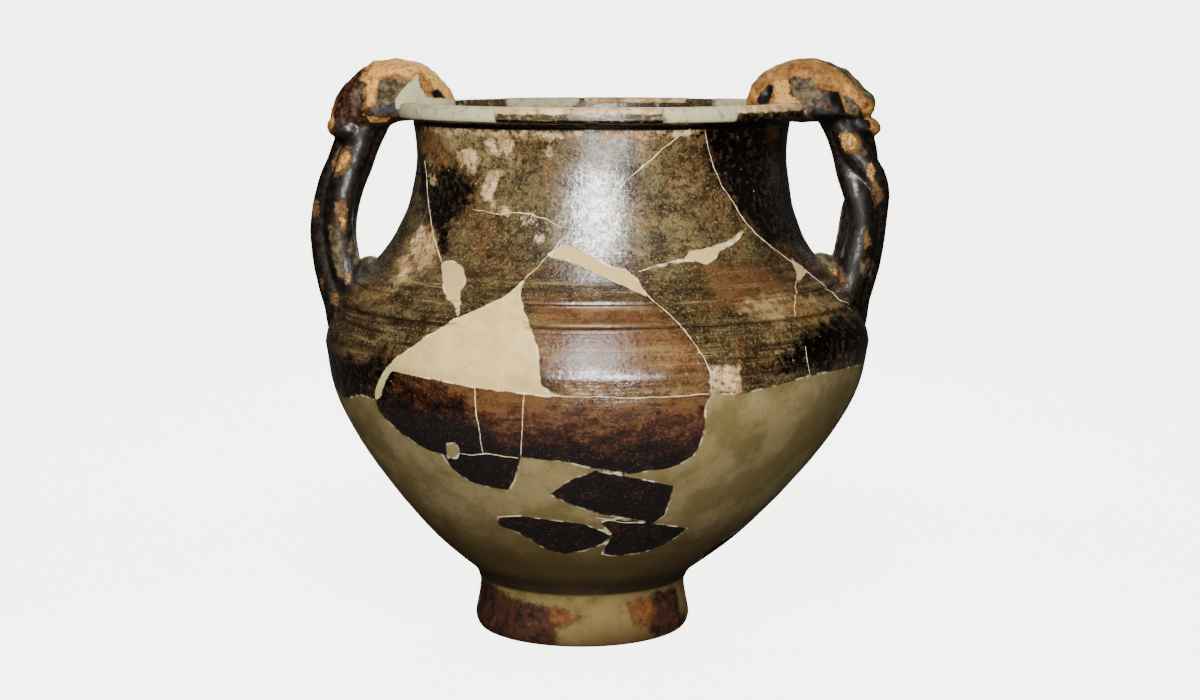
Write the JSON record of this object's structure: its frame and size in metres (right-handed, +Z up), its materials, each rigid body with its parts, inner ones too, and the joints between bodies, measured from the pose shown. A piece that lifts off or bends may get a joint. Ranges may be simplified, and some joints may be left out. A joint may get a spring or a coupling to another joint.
{
  "type": "kantharos",
  "caption": "Deep two-handled drinking vessel of dark-slipped clay on a low foot, mended with plaster, its twisted handles rising over the lip.",
  "frame": {"origin": "middle of the whole shape's bounding box on the plane that the foot stands on", "axes": "+Z up; +X through the handle with the outward-pointing knob; -Y is the side seen in the picture, with the mended shoulder"},
  "size_m": [0.2186, 0.2052, 0.2155],
  "materials": {
    "kantharos": "dark olive-brown slip with a soft gloss, worn to orange clay on the handles and the lip, with flat beige plaster fills"
  },
  "bodies": {
    "root": {"kantharos": "kantharos"}
  },
  "joints": []
}
